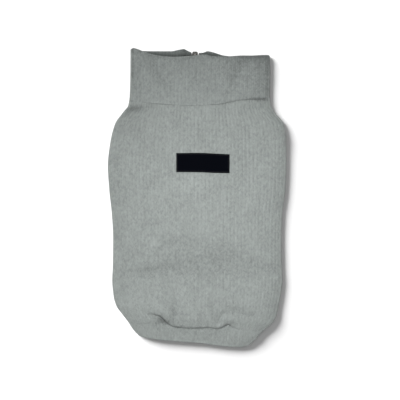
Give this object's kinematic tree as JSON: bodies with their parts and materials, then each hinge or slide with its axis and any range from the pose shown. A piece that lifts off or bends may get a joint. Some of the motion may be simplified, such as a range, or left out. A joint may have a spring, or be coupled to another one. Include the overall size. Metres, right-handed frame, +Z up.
{
  "type": "dog sweater",
  "caption": "Ribbed knit dog sweater with a stand-up collar, elasticated hem, bare label and belly zip, laid flat with its back up.",
  "frame": {"origin": "on the surface it rests on, under the middle of the laid garment's outline", "axes": "+Y towards the collar, +X towards the garment's right as it lies back up, +Z up from the surface"},
  "size_m": [0.1958, 0.3283, 0.0098],
  "materials": {
    "knit": "heathered grey rib knit, matt",
    "collar_knit": "heathered grey rib knit, matt, a little darker",
    "label": "bare black woven label, slight sheen",
    "zip_tape": "dark woven tape, matt",
    "zip_metal": "antique nickel on zinc, satin"
  },
  "bodies": {
    "garment": {"back_panel": "knit", "belly_panel_left": "knit", "belly_panel_right": "knit", "collar": "collar_knit", "hem_band": "knit", "label": "label", "zip_tape_left": "zip_tape", "zip_tape_right": "zip_tape", "zip_slider": "zip_metal", "zip_box": "zip_metal"},
    "pull_tab": {"zip_pull": "zip_metal"}
  },
  "joints": [
    {"name": "pull_tab_hinge", "type": "hinge", "parent": "garment", "child": "pull_tab", "pos_m": [-0.0019, 0.1554, 0.00135], "axis": [1, 0, 0], "range_deg": [0, 170]}
  ]
}
